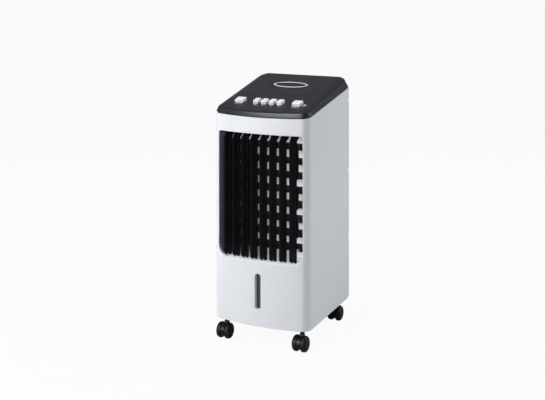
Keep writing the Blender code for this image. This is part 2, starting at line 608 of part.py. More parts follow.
def main():
    clear_scene()
    datum = bpy.data.objects.new("cabinet_datum", None)
    datum.location = (0, (BOW - SIDE_DEPTH) / 2 * MM, CASTOR_HEIGHT * MM)
    bpy.context.scene.collection.objects.link(datum)

    white = finish("white_shell", (0.80, 0.82, 0.85), 0.35)
    charcoal = finish("charcoal_lid", (0.045, 0.05, 0.06), 0.3)
    slate = finish("slate_frame", (0.05, 0.058, 0.08), 0.45)
    black = finish("black_plastic", (0.008, 0.008, 0.010), 0.45)
    key_white = finish("key_plastic", (0.75, 0.76, 0.76), 0.35)
    silver = finish("bright_trim", (0.72, 0.73, 0.75), 0.2, 1.0)
    steel = finish("steel", (0.5, 0.5, 0.52), 0.35, 1.0)
    clear_blue = finish("level_window", (0.05, 0.08, 0.12), 0.1, 0.0, 0.6)
    tank_clear = finish("tank_plastic", (0.62, 0.68, 0.74), 0.3)
    paper = finish("pad_paper", (0.32, 0.22, 0.10), 0.9)
    filter_grey = finish("filter_mesh", (0.06, 0.06, 0.07), 0.7)
    hose_clear = finish("hose_silicone", (0.6, 0.62, 0.6), 0.4)
    cord_black = finish("cord_rubber", (0.01, 0.01, 0.01), 0.6)

    build_casing(white)
    build_base(white)
    build_rear(white, filter_grey)
    build_tank(tank_clear, slate, black)
    build_lid(charcoal, silver)
    build_controls(key_white, black)
    build_level_window(clear_blue)
    build_vanes(black)
    build_vane_drive(black, steel)
    build_louvre_frame(slate)
    build_louvres(black)
    build_air_path(white, steel, black, steel)
    build_water(paper, white, hose_clear)
    build_cord(cord_black)
    build_screws(steel)
    build_castors(black, black)


main()
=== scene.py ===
import json
import math

import bmesh
import bpy
from mathutils import Matrix, Vector


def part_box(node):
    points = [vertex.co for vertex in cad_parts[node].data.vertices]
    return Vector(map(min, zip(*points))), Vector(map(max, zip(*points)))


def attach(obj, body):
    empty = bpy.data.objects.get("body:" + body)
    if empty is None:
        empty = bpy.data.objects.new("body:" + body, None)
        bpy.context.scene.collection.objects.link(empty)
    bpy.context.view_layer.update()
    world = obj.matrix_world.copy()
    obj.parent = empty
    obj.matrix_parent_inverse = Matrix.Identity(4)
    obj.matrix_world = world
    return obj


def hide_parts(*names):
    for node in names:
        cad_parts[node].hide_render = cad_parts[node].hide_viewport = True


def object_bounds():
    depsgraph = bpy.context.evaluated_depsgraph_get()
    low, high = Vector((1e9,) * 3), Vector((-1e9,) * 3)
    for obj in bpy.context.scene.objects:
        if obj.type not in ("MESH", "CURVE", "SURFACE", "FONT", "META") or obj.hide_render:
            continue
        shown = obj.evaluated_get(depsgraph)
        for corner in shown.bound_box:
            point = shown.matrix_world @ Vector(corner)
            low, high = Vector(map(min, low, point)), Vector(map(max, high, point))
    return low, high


# Visual model of a portable evaporative air cooler. The new pieces ride on the bodies of the CAD frame and
# stand for its solids. A few inner CAD solids are kept and only finished.
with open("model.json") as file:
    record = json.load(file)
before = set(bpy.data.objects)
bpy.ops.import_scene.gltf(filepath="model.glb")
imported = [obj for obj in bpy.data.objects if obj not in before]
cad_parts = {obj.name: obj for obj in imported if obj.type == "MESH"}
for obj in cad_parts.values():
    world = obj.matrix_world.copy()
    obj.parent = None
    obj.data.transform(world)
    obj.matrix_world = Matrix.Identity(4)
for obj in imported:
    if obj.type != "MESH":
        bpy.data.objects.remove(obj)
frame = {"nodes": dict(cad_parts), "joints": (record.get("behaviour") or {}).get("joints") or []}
CAD_LOW, CAD_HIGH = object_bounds()

# Lengths are in millimetres until a mesh or a location is made. The cabinet's datum is X = 0 on the centre
# plane, Y = 0 where the bowed front meets the flat sides, Z = 0 at the cabinet's lower edge.
MM = 0.001
BOW = 15.0
CASING_LOW, CASING_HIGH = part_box("casing")
DATUM = Vector((0.0, CASING_LOW.y + BOW * MM, CASING_LOW.z))
HALF_WIDTH = CASING_HIGH.x / MM
SIDE_DEPTH = (CASING_HIGH.y - DATUM.y) / MM
BOW_RADIUS = (HALF_WIDTH ** 2 + BOW ** 2) / (2 * BOW)
FRONT_CORNER = 22.0
REAR_CORNER, REAR_FOOT_CORNER = 22.0, 6.0
WALL = 2.6
RIM_Z, RIM_SLOPE = 464.3, 0.160
LID_Z, LID_SLOPE = 477.8, 0.2146
LID_TILT = math.atan(LID_SLOPE)

# The lid's rounded edge, the lean of its sides, and the creases where its top starts to slope to the sides
LID_EDGE, LID_DRAFT = 4.6, 2.6
CREASE_FRONT, CREASE_REAR, CREASE_SLOPE, CREASE_SOFT = 103.0, 93.0, 0.18, 2.0

# The casing's face, unrolled: half lengths of the bow and of the bow with its corner
LEAN = math.asin((HALF_WIDTH - FRONT_CORNER) / (BOW_RADIUS - FRONT_CORNER))
CORNER_Y = BOW_RADIUS - BOW - (BOW_RADIUS - FRONT_CORNER) * math.cos(LEAN)
BOW_RUN = BOW_RADIUS * LEAN
CORNER_RUN = BOW_RUN + FRONT_CORNER * (math.pi / 2 - LEAN)
FULL_RUN = CORNER_RUN + SIDE_DEPTH - CORNER_Y
BOW_STEPS, CORNER_STEPS, REAR_STEPS = 22, 14, 10

# Front opening and water level slot
OPEN_HALF, OPEN_LOW, OPEN_HIGH = 103.5, 143.5, 425.5
OPEN_TOP_CORNER, OPEN_FOOT_CORNER = 6.0, 25.0
SLOT_HALF, SLOT_LOW, SLOT_HIGH = 7.0, 36.5, 116.4

# Vanes, louvres, rotor and castors
VANE_REST, LINK_ARM = math.radians(-37), 6.5
LOUVRE_REST, LOUVRE_HALF, LOUVRE_PITCH, LOUVRE_PIN, BAR_X = math.radians(17), 101.0, 32.0, 11.0, 80.5
BAR_GROUPS = {"a": (0, 2, 4.0, 4.0), "b": (3, 4, 11.0, 6.0), "c": (5, 6, 4.0, 5.0)}
ROTOR_RADIUS = 42.0
CASTOR_TRAIL, AXLE_DROP = 9.0, 30.5
FORK_HALF, FORK_RADIUS = 4.0, 16.3

# Keys and badge ring on the lid
KEY_Y, KEY_PITCH, KEY_HALF, KEY_DEPTH_HALF = 45.0, 19.5, 6.75, 10.0
ROCKER_X, ROCKER_HALF = 71.0, 10.5
KEY_RISE, KEY_SINK, ROCKER_PIVOT = 6.8, 7.0, -3.0
BADGE_Y = 167.0

# Pivots of the joints, in metres
PIVOTS = {j["name"]: Vector(j["pos_m"]) for j in frame["joints"] if "pos_m" in j}


# ---------------------------------------------------------------- outlines

def arc(x, y, radius, start, end, steps):
    """Points of an arc about (x, y), with angles in degrees."""
    angles = [math.radians(start + (end - start) * i / steps) for i in range(steps + 1)]
    return [(x + radius * math.cos(a), y + radius * math.sin(a)) for a in angles]


def rounded(x0, x1, y0, y1, low, high, steps=6):
    """Rectangle with low corners of radius low and high corners of radius high."""
    points = arc(x1 - low, y0 + low, low, -90, 0, steps) + arc(x1 - high, y1 - high, high, 0, 90, steps)
    points += arc(x0 + high, y1 - high, high, 90, 180, steps)
    return points + arc(x0 + low, y0 + low, low, 180, 270, steps)


def inset(loop, amount):
    """Closed loop of points moved to its left by amount."""
    moved_loop = []
    for i, point in enumerate(loop):
        before = (Vector(point) - Vector(loop[i - 1])).normalized()
        after = (Vector(loop[(i + 1) % len(loop)]) - Vector(point)).normalized()
        left = Vector((-before.y, before.x))
        normal = (left + Vector((-after.y, after.x))).normalized()
        moved_loop.append(tuple(Vector(point) + normal * amount / max(normal.dot(left), 0.3)))
    return moved_loop


def front_y(x):
    """The bowed front's Y at x."""
    return BOW_RADIUS - BOW - math.sqrt(BOW_RADIUS ** 2 - x ** 2)


def plan_point(run, depth=0.0):
    """Point in plan, run along the casing's face from the front's centre and depth behind that face."""
    side, run = math.copysign(1, run), abs(run)
    if run > CORNER_RUN:
        return side * (HALF_WIDTH - depth), CORNER_Y + run - CORNER_RUN
    if run > BOW_RUN:
        angle, radius = LEAN + (run - BOW_RUN) / FRONT_CORNER, FRONT_CORNER
        x, y = HALF_WIDTH - FRONT_CORNER, CORNER_Y
    else:
        angle, radius, x, y = run / BOW_RADIUS, BOW_RADIUS, 0.0, BOW_RADIUS - BOW
    return side * (x + (radius - depth) * math.sin(angle)), y - (radius - depth) * math.cos(angle)


def half_stations():
    """Distances along the face from the centre to the start of the flat side."""
    bow = [BOW_RUN * i / BOW_STEPS for i in range(BOW_STEPS)]
    return bow + [BOW_RUN + (CORNER_RUN - BOW_RUN) * i / CORNER_STEPS for i in range(CORNER_STEPS + 1)]


def stations():
    """Distances along the face from one flat side to the other."""
    half = half_stations()
    return [-s for s in reversed(half[1:])] + half


def rim(y):
    """Height of the casing's sloping upper edge at y."""
    return RIM_Z + RIM_SLOPE * y


def lid_top(y):
    """Height of the plane of the lid's top at y."""
    return LID_Z + LID_SLOPE * y


def on_lid(x, y):
    """Matrix of a frame on the lid's top with Z square to it."""
    return Matrix.Translation((x, y, lid_top(y))) @ Matrix.Rotation(LID_TILT, 4, "X")


# ---------------------------------------------------------------- solids, as bmeshes in millimetres

def loft(rings, ends=(True, True)):
    """Skin through rings of points in space, which all have the same number of points."""
    bm = bmesh.new()
    rows = [[bm.verts.new(p) for p in ring] for ring in rings]
    for row, closed in zip((rows[0], rows[-1]), ends):
        if closed:
            bm.faces.new(row)
    for lower, upper in zip(rows, rows[1:]):
        for i in range(len(lower)):
            j = (i + 1) % len(lower)
            bm.faces.new((lower[i], lower[j], upper[j], upper[i]))
    bmesh.ops.recalc_face_normals(bm, faces=bm.faces)
    return bm


def prism(outline, low, high, axis="Z"):
    """Straight solid on an outline, from low to high along an axis."""
    order = {"X": lambda u, v, h: (h, u, v),
             "Y": lambda u, v, h: (u, h, v),
             "Z": lambda u, v, h: (u, v, h)}[axis]
    return loft([[order(u, v, h) for u, v in outline] for h in (low, high)])


def box(x0, x1, y0, y1, z0, z1):
    return prism([(x0, y0), (x1, y0), (x1, y1), (x0, y1)], z0, z1)


def turned(profile, steps, axis="Z", at=(0, 0, 0)):
    """Spin a profile of (radius, height) points about an axis through at."""
    bm = bmesh.new()
    verts = [bm.verts.new((r, 0, h)) for r, h in profile]
    edges = [bm.edges.new(pair) for pair in zip(verts, verts[1:])]
    bmesh.ops.spin(bm, geom=verts + edges, axis=(0, 0, 1), cent=(0, 0, 0), steps=steps, angle=math.tau,
                   use_merge=True)
    bmesh.ops.remove_doubles(bm, verts=bm.verts, dist=0.001)
    turn = {"X": Matrix.Rotation(math.pi / 2, 4, "Y"), "Y": Matrix.Rotation(-math.pi / 2, 4, "X"),
            "Z": Matrix.Identity(4)}[axis]
    bmesh.ops.transform(bm, matrix=Matrix.Translation(at) @ turn, verts=bm.verts)
    bmesh.ops.recalc_face_normals(bm, faces=bm.faces)
    return bm


def cylinder(radius, low, high, steps=24, axis="Z", at=(0, 0, 0)):
    return turned([(0, low), (radius, low), (radius, high), (0, high)], steps, axis, at)


def tube(path, radius, sides=14):
    """Round bar along a path in space, with its rings square to the path."""
    rings = []
    side = Vector((0, 0, 1))
    for i, point in enumerate(path):
        along = (path[min(i + 1, len(path) - 1)] - path[max(i - 1, 0)]).normalized()
        side = (side - along * side.dot(along)).normalized()
        if side.length < 0.5:
            side = along.orthogonal().normalized()
        up = along.cross(side)
        turn = [math.tau * k / sides for k in range(sides)]
        rings.append([point + (side * math.cos(a) + up * math.sin(a)) * radius for a in turn])
    return loft(rings)


def rounded_path(points, radius, steps=6):
    """Path in space with each inner corner replaced by a short curve that starts radius away."""
    points = [Vector(p) for p in points]
    path = [points[0]]
    for before, corner, after in zip(points, points[1:], points[2:]):
        a = corner + (before - corner).normalized() * radius
        b = corner + (after - corner).normalized() * radius
        for i in range(steps + 1):
            t = i / steps
            path.append(a * (1 - t) ** 2 + corner * 2 * t * (1 - t) + b * t ** 2)
    return path + [points[-1]]


def together(solids):
    """Several solids in one bmesh."""
    whole = bmesh.new()
    for solid in solids:
        part = bpy.data.meshes.new("part")
        solid.to_mesh(part)
        solid.free()
        whole.from_mesh(part)
        bpy.data.meshes.remove(part)
    return whole


def moved(solid, matrix):
    bmesh.ops.transform(solid, matrix=matrix, verts=solid.verts)
    return solid


def shifted(solid, y=0.0, z=0.0):
    return moved(solid, Matrix.Translation((0, y, z)))


def meshed(body, join=(), cut=()):
    """Mesh in metres of the body with each solid in join united to it and then each one in cut taken away."""
    helpers = []
    for solid in (body, *join, *cut):
        mesh = bpy.data.meshes.new("solid")
        solid.to_mesh(mesh)
        solid.free()
        helper = bpy.data.objects.new("solid", mesh)
        bpy.context.scene.collection.objects.link(helper)
        helpers.append(helper)
    shell = helpers[0]
    for i, helper in enumerate(helpers[1:]):
        step = shell.modifiers.new("step", "BOOLEAN")
        step.operation = "UNION" if i < len(join) else "DIFFERENCE"
        step.solver = "EXACT"
        step.object = helper
    bpy.context.view_layer.update()
    mesh = bpy.data.meshes.new_from_object(shell.evaluated_get(bpy.context.evaluated_depsgraph_get()))
    for helper in helpers:
        spare = helper.data
        bpy.data.objects.remove(helper)
        bpy.data.meshes.remove(spare)
    mesh.transform(Matrix.Scale(MM, 4))
    return mesh


# ---------------------------------------------------------------- materials

class Nodes:
    """Short calls for building a material's node tree."""

    def __init__(self, tree):
        self.tree = tree

    def add(self, kind, values=(), **settings):
        node = self.tree.nodes.new(kind)
        for key, value in settings.items():
            setattr(node, key, value)
        for key, value in dict(values).items():
            if isinstance(value, bpy.types.NodeSocket):
                self.tree.links.new(value, node.inputs[key])
            else:
                node.inputs[key].default_value = value
        return node

    def noise(self, where, scale, detail=2.0, roughness=0.5):
        node = self.add("ShaderNodeTexNoise", {"Vector": where, "Scale": scale, "Detail": detail,
                                               "Roughness": roughness})
        return node.outputs["Fac"]

    def between(self, value, low, high, start=0.3, end=0.7):
        node = self.add("ShaderNodeMapRange", {"Value": value, "From Min": start, "From Max": end,
                                               "To Min": low, "To Max": high})
        return node.outputs["Result"]

    def mix(self, share, first, second):
        node = self.add("ShaderNodeMix", data_type="RGBA")
        for index, value in ((0, share), (6, first), (7, second)):
            if isinstance(value, bpy.types.NodeSocket):
                self.tree.links.new(value, node.inputs[index])
            else:
                node.inputs[index].default_value = value
        return node.outputs[2]

    def edges(self, radius):
        """0 on flat faces, rising to 1 where the surface turns within radius."""
        soft = self.add("ShaderNodeBevel", {"Radius": radius}, samples=4).outputs["Normal"]
        flat = self.add("ShaderNodeNewGeometry").outputs["True Normal"]
        dot = self.add("ShaderNodeVectorMath", operation="DOT_PRODUCT")
        self.tree.links.new(soft, dot.inputs[0])
        self.tree.links.new(flat, dot.inputs[1])
        return self.between(dot.outputs["Value"], 1.0, 0.0, 0.72, 0.99)


def shade(colour, factor):
    return (*(min(1.0, c * factor) for c in colour), 1.0)


def moulded(name, colour, roughness, grain=0.05, variation=0.05, wear=1.25, specular=0.5, settings=()):
    """Moulded plastic: faint flow marks, fine grain, uneven gloss and rubbed edges."""
    material = bpy.data.materials.new(name)
    material.use_nodes = True
    nodes = Nodes(material.node_tree)
    shader = material.node_tree.nodes["Principled BSDF"]
    where = nodes.add("ShaderNodeTexCoord").outputs["Object"]
    flow = nodes.between(nodes.noise(where, 9.0, 3.0), 0.0, 1.0)
    tone = nodes.mix(flow, shade(colour, 1 - variation), shade(colour, 1 + variation))
    specks = nodes.between(nodes.noise(where, 700.0, 2.0), 0.0, 1.0, 0.62, 0.75)
    tone = nodes.mix(nodes.between(specks, 0.0, 0.25, 0.0, 1.0), tone, shade(colour, 1 - 2 * variation))
    tone = nodes.mix(nodes.between(nodes.edges(0.0012), 0.0, 0.5, 0.0, 1.0), tone, shade(colour, wear))
    fine = nodes.noise(where, 2600.0, 2.0, 0.6)
    waves = nodes.noise(where, 60.0, 2.0)
    relief = nodes.add("ShaderNodeMath", {0: fine, 1: waves}, operation="ADD").outputs[0]
    bump = nodes.add("ShaderNodeBump", {"Height": relief, "Strength": grain, "Distance": 0.0004})
    gloss = nodes.between(nodes.noise(where, 35.0, 4.0), roughness * 0.85, roughness * 1.2)
    for socket, value in (("Base Color", tone), ("Roughness", gloss), ("Normal", bump.outputs["Normal"])):
        material.node_tree.links.new(value, shader.inputs[socket])
    shader.inputs["Specular IOR Level"].default_value = specular
    for socket, value in dict(settings).items():
        shader.inputs[socket].default_value = value
    return material


def brushed(name, colour, roughness):
    """Metal with a fine turned or drawn grain along Z."""
    material = bpy.data.materials.new(name)
    material.use_nodes = True
    nodes = Nodes(material.node_tree)
    shader = material.node_tree.nodes["Principled BSDF"]
    where = nodes.add("ShaderNodeTexCoord").outputs["Object"]
    stretched = nodes.add("ShaderNodeMapping", {"Vector": where, "Scale": (1.0, 1.0, 14.0)}).outputs["Vector"]
    lines = nodes.noise(stretched, 380.0, 3.0, 0.7)
    cloud = nodes.noise(where, 30.0, 3.0)
    tone = nodes.mix(nodes.between(cloud, 0.0, 1.0), shade(colour, 0.88), shade(colour, 1.08))
    gloss = nodes.between(lines, roughness * 0.7, roughness * 1.5)
    bump = nodes.add("ShaderNodeBump", {"Height": lines, "Strength": 0.08, "Distance": 0.0002})
    for socket, value in (("Base Color", tone), ("Roughness", gloss), ("Normal", bump.outputs["Normal"])):
        material.node_tree.links.new(value, shader.inputs[socket])
    shader.inputs["Metallic"].default_value = 1.0
    return material


def fibrous(name, colour, roughness, scale):
    """Paper or woven fibre, with soft streaks and a matt, uneven surface."""
    material = bpy.data.materials.new(name)
    material.use_nodes = True
    nodes = Nodes(material.node_tree)
    shader = material.node_tree.nodes["Principled BSDF"]
    where = nodes.add("ShaderNodeTexCoord").outputs["Object"]
    long = nodes.add("ShaderNodeMapping", {"Vector": where, "Scale": (1.0, 1.0, 0.25)}).outputs["Vector"]
    fibres = nodes.noise(long, scale, 5.0, 0.7)
    stains = nodes.noise(where, 14.0, 4.0)
    tone = nodes.mix(nodes.between(fibres, 0.0, 1.0), shade(colour, 0.7), shade(colour, 1.25))
    tone = nodes.mix(nodes.between(stains, 0.0, 0.35), tone, shade(colour, 0.55))
    bump = nodes.add("ShaderNodeBump", {"Height": fibres, "Strength": 0.4, "Distance": 0.0004})
    material.node_tree.links.new(tone, shader.inputs["Base Color"])
    material.node_tree.links.new(bump.outputs["Normal"], shader.inputs["Normal"])
    shader.inputs["Roughness"].default_value = roughness
    return material


WHITE = moulded("white_shell", (0.80, 0.815, 0.845), 0.38, grain=0.04, variation=0.012, wear=1.08)
LID = moulded("charcoal_lid", (0.0135, 0.0152, 0.0220), 0.36, grain=0.08, variation=0.015, wear=1.5,
              specular=0.27)
SLATE = moulded("slate_frame", (0.060, 0.070, 0.095), 0.5, grain=0.08, wear=1.3, specular=0.3)
BLACK = moulded("black_plastic", (0.0040, 0.0044, 0.0066), 0.42, grain=0.08, wear=1.8, specular=0.2)
WHEEL = moulded("castor_wheel", (0.0045, 0.0045, 0.005), 0.45, grain=0.08, wear=1.3, specular=0.2)
KEY = moulded("key_plastic", (0.92, 0.925, 0.93), 0.34, grain=0.05, variation=0.015, wear=1.05)
PRINT = moulded("pale_print", (0.74, 0.76, 0.80), 0.5, grain=0.05, wear=1.0)
TANK = moulded("tank_plastic", (0.78, 0.80, 0.83), 0.3, grain=0.03, variation=0.015, wear=1.05,
               settings={"Subsurface Weight": 0.15, "Subsurface Scale": 0.004})
BEZEL = moulded("level_bezel", (0.74, 0.76, 0.80), 0.38, grain=0.04, wear=1.05)
WINDOW = moulded("level_window", (0.028, 0.050, 0.078), 0.12, grain=0.02, variation=0.25, wear=1.1,
                 settings={"Coat Weight": 0.6, "Coat Roughness": 0.05})
CORD = moulded("cord_rubber", (0.012, 0.012, 0.013), 0.55, grain=0.15, wear=1.6, specular=0.3)
HOSE = moulded("hose_silicone", (0.60, 0.62, 0.60), 0.3, grain=0.05,
               settings={"Subsurface Weight": 0.3, "Subsurface Scale": 0.003})
TRIM = moulded("bright_trim", (0.60, 0.61, 0.645), 0.38, grain=0.05, variation=0.02, wear=1.1)
STEEL = brushed("steel", (0.50, 0.50, 0.52), 0.32)
PAPER = fibrous("pad_paper", (0.30, 0.205, 0.095), 0.9, 420.0)
MESH = fibrous("filter_mesh", (0.05, 0.052, 0.058), 0.7, 900.0)


# ---------------------------------------------------------------- placing pieces

def show(name, mesh, finish, body, stands_for=(), at=DATUM, turn=(0, 0, 0), bevel=0.0, sharp=32.0):
    """Place a mesh as a visible piece that rides on a CAD body and stands for CAD nodes."""
    obj = bpy.data.objects.new(name, mesh)
    bpy.context.scene.collection.objects.link(obj)
    obj.location = at
    obj.rotation_euler = turn
    if not mesh.materials:
        mesh.materials.append(finish)
        mesh.shade_smooth()
        mesh.set_sharp_from_angle(angle=math.radians(sharp))
    if bevel:
        soften(obj, bevel)
    obj.modifiers.new("normals", "WEIGHTED_NORMAL").keep_sharp = True
    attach(obj, body)
    if stands_for:
        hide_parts(*stands_for)
    return obj


def soften(obj, width, segments=2):
    """Round the sharp edges of an object by width."""
    edge = obj.modifiers.new("edges", "BEVEL")
    edge.width = width * MM
    edge.segments = segments
    edge.limit_method = "ANGLE"
    edge.angle_limit = math.radians(40)
    edge.harden_normals = True


def keep(node, finish, width):
    """Keep a CAD node, with soft edges and a finish."""
    obj = frame["nodes"][node]
    obj.data.materials.clear()
    obj.data.materials.append(finish)
    weld = obj.modifiers.new("weld", "WELD")
    weld.merge_threshold = 0.000005
    soften(obj, width)
    obj.modifiers.new("normals", "WEIGHTED_NORMAL").keep_sharp = True


# ---------------------------------------------------------------- cabinet

def sheet(outline, holes, wall, edge, round_steps=4):
    """Flat sheet in (run, depth, z) with holes, and with its front edges rounded. The outline and the holes
    run in opposite directions, so that the material is always to the left."""
    bm = bmesh.new()
    front, back = [], []
    for loop in (outline, *holes):
        rows = []
        for i in range(round_steps + 1):
            angle = math.pi / 2 * i / round_steps
            depth = edge * (1 - math.cos(angle))
            rows.append([(u, depth, v) for u, v in inset(loop, edge * (1 - math.sin(angle)))])
        rows.append([(u, wall, v) for u, v in loop])
        rows = [[bm.verts.new(p) for p in row] for row in rows]
        for lower, upper in zip(rows, rows[1:]):
            for i in range(len(lower)):
                j = (i + 1) % len(lower)
                bm.faces.new((lower[i], lower[j], upper[j], upper[i]))
        for row, edges in ((rows[0], front), (rows[-1], back)):
            edges += [bm.edges.get((row[i], row[i - 1])) for i in range(len(row))]
    for edges in (front, back):
        bmesh.ops.triangle_fill(bm, use_beauty=True, use_dissolve=False, edges=edges)
    bmesh.ops.recalc_face_normals(bm, faces=bm.faces)
    return bm


def wrapped(bm):
    """Bend a flat sheet round the casing's plan."""
    for s in stations():
        geometry = bm.verts[:] + bm.edges[:] + bm.faces[:]
        bmesh.ops.bisect_plane(bm, geom=geometry, dist=0.0005, plane_co=(s, 0, 0), plane_no=(1, 0, 0))
    for vert in bm.verts:
        x, y = plan_point(vert.co.x, vert.co.y)
        vert.co = (x, y, vert.co.z)
    bmesh.ops.recalc_face_normals(bm, faces=bm.faces)
    return bm


def casing_outline(foot=12.0, notch_half=5.0, notch_deep=3.5, notches=(149.2, 306.5, 473.5)):
    """Outline of the unrolled casing, with notches in its two rear edges."""
    right = arc(FULL_RUN - foot, foot, foot, -90, 0, 8)
    for z in notches:
        right += [(FULL_RUN, z - notch_half), (FULL_RUN - notch_deep, z - notch_half),
                  (FULL_RUN - notch_deep, z + notch_half), (FULL_RUN, z + notch_half)]
    right.append((FULL_RUN, rim(SIDE_DEPTH)))
    top = [(s, rim(plan_point(s)[1])) for s in reversed(stations())]
    return right + top + [(-u, v) for u, v in reversed(right)]


def make_casing():
    edge_angle = math.asin((OPEN_HALF - HALF_WIDTH + FRONT_CORNER) / FRONT_CORNER)
    open_run = BOW_RUN + FRONT_CORNER * (edge_angle - LEAN)
    window = rounded(-open_run, open_run, OPEN_LOW, OPEN_HIGH, OPEN_FOOT_CORNER, OPEN_TOP_CORNER, 10)
    slot = rounded(-SLOT_HALF, SLOT_HALF, SLOT_LOW, SLOT_HIGH, SLOT_HALF - 0.1, SLOT_HALF - 0.1, 8)
    shell = wrapped(sheet(casing_outline(), (window[::-1], slot[::-1]), WALL, 1.1))
    show("casing_shell", meshed(shell, join=(corner_returns(),)), WHITE, "cabinet", ["casing"])


def corner_returns(depth=7.5, thick=1.6, overlap=0.8):
    """Walls that lead inward from the opening's two round lower corners."""
    x, z, radius = OPEN_HALF - OPEN_FOOT_CORNER, OPEN_LOW + OPEN_FOOT_CORNER, OPEN_FOOT_CORNER + 0.05
    near_arc, far_arc = [arc(x, z, r, -88, -4, 14) for r in (radius, radius + thick)]
    strips = []
    for side in (-1, 1):
        rings = []
        for (near_x, near_z), (far_x, far_z) in zip(near_arc, far_arc):
            front = front_y(near_x) + WALL - overlap
            back = front + depth
            rings.append([(side * near_x, front, near_z), (side * far_x, front, far_z),
                          (side * far_x, back, far_z), (side * near_x, back, near_z)])
        strips.append(loft(rings))
    return together(strips)


def lid_plan(depth, rear):
    """Plan loop of the lid, depth inside its outer face, with rear corners of a given outer radius."""
    half, back, radius = HALF_WIDTH - depth, SIDE_DEPTH - depth, max(rear - depth, 0.6)
    front = [plan_point(s, depth) for s in stations()]
    right = arc(half - radius, back - radius, radius, 0, 90, REAR_STEPS)
    left = arc(radius - half, back - radius, radius, 90, 180, REAR_STEPS)
    return front + right + left


def crease(y):
    """Distance from the centre plane to the line where the lid's side slopes start."""
    return CREASE_FRONT + (CREASE_REAR - CREASE_FRONT) * y / SIDE_DEPTH


def lid_height(x, y):
    """Height of the lid's top, which bends down past the crease."""
    past = abs(x) - crease(y)
    if past > CREASE_SOFT:
        return lid_top(y) - CREASE_SLOPE * past
    return lid_top(y) - CREASE_SLOPE * max(0.0, past + CREASE_SOFT) ** 2 / (4 * CREASE_SOFT)


def lid_body():
    """Hollow lid: an underside, a neck inside the casing, a shadow gap, sides and a soft upper edge."""
    def ring(depth, rear, height):
        return [(x, y, height(x, y)) for x, y in lid_plan(depth, rear)]

    def over_rim(rise):
        return lambda x, y: rim(y) + rise

    rings = [ring(9.0, REAR_CORNER, lambda x, y: lid_top(y) - 4.2),
             ring(5.0, REAR_CORNER, lambda x, y: lid_top(y) - 7.5),
             ring(5.0, REAR_FOOT_CORNER, over_rim(-2.6)), ring(3.0, REAR_FOOT_CORNER, over_rim(-2.6)),
             ring(3.0, REAR_FOOT_CORNER, over_rim(1.7)), ring(1.1, REAR_FOOT_CORNER, over_rim(1.7)),
             ring(0.35, REAR_FOOT_CORNER, over_rim(2.0)), ring(0.0, REAR_FOOT_CORNER, over_rim(2.8))]
    steps = 7
    for i in range(steps + 1):
        angle = math.pi / 2 * i / steps
        drop = LID_EDGE * (1 - math.sin(angle))
        rings.append(ring(LID_DRAFT + LID_EDGE * (1 - math.cos(angle)), REAR_CORNER,
                          lambda x, y: lid_height(x, y) - drop))
    bm = loft(rings, ends=(True, False))

    border = LID_DRAFT + LID_EDGE
    half = [plan_point(s, border) for s in half_stations()]
    radius = REAR_CORNER - border
    half += arc(HALF_WIDTH - border - radius, SIDE_DEPTH - border - radius, radius, 0, 90, REAR_STEPS)
    rows = []
    for x, y in half:
        marks = [min(x, crease(y) + k * CREASE_SOFT) for k in (-1, -0.4, 0.2, 1)] + [x]
        across = [-m for m in reversed(marks)] + marks
        rows.append([bm.verts.new((u, y, lid_height(u, y))) for u in across])
    for near, far in zip(rows, rows[1:]):
        for i in range(len(near) - 1):
            bm.faces.new((near[i], near[i + 1], far[i + 1], far[i]))
    bmesh.ops.remove_doubles(bm, verts=bm.verts, dist=0.002)
    bmesh.ops.dissolve_degenerate(bm, edges=bm.edges, dist=0.0005)
    bmesh.ops.recalc_face_normals(bm, faces=bm.faces)
    return bm


def key_places():
    """X of each small key."""
    return [(i - 1.5) * KEY_PITCH for i in range(4)]


def make_lid():
    def pocket(x, half, long):
        return moved(prism(rounded(-half, half, -long, long, 2.9, 2.9), -14, 8), on_lid(x, KEY_Y))

    pockets = [pocket(x, KEY_HALF + 0.6, 10.7) for x in key_places()]
    pockets += [pocket(s * ROCKER_X, ROCKER_HALF + 0.7, 11.0) for s in (-1, 1)]
    shell = meshed(lid_body(), cut=(together(pockets),))
    show("lid_shell", shell, LID, "cabinet", ["top_cover"], bevel=0.35)


def make_badge():
    """Plain oval ring on the lid."""
    steps, half_wide, half_deep, band_wide, band_deep, height = 96, 41.6, 16.6, 2.4, 3.1, 0.6
    ring = []
    for i in range(steps):
        a = math.tau * i / steps
        ring.append([((half_wide + band_wide * r) * math.cos(a), (half_deep + band_deep * r) * math.sin(a),
                      1.5 * height + height * z) for r, z in arc(0, 0, 1.0, 0, 360, 12)[:-1]])
    bm = loft(ring + ring[:1], ends=(False, False))
    bmesh.ops.remove_doubles(bm, verts=bm.verts, dist=0.001)
    bmesh.ops.recalc_face_normals(bm, faces=bm.faces)
    show("badge_trim", meshed(bm), TRIM, "cabinet", ["badge_ring"],
         at=DATUM + Vector((0, BADGE_Y, lid_top(BADGE_Y))) * MM, turn=(LID_TILT, 0, 0))


def make_marks():
    """Generic printed marks round the keys: dots on the left, dashes on the right, one tick for each key."""
    def dash(x, y, half_x, half_y):
        outline = rounded(x - half_x, x + half_x, y - half_y, y + half_y, half_y * 0.95, half_y * 0.95, 4)
        return prism(outline, -0.05, 0.09)

    marks = [dash(-ROCKER_X - 16.0, 1.0, 2.6, 3.0)]
    marks += [dash(-ROCKER_X + x, -16.5, 1.4, 1.9) for x in (-7.5, -2.5, 2.5, 7.5)]
    marks += [dash(ROCKER_X + 17.0, -4.0, 4.6, 1.8), dash(ROCKER_X + 18.0, 1.6, 3.2, 1.5)]
    marks += [dash(ROCKER_X + x, -16.5, 2.0, 1.7) for x in (-6.5, 0, 6.5)]
    marks += [dash(x, -15.5, 2.8, 1.3) for x in key_places()]
    body = moved(together(marks), on_lid(0, KEY_Y))
    show("key_marks", meshed(body), PRINT, "cabinet")


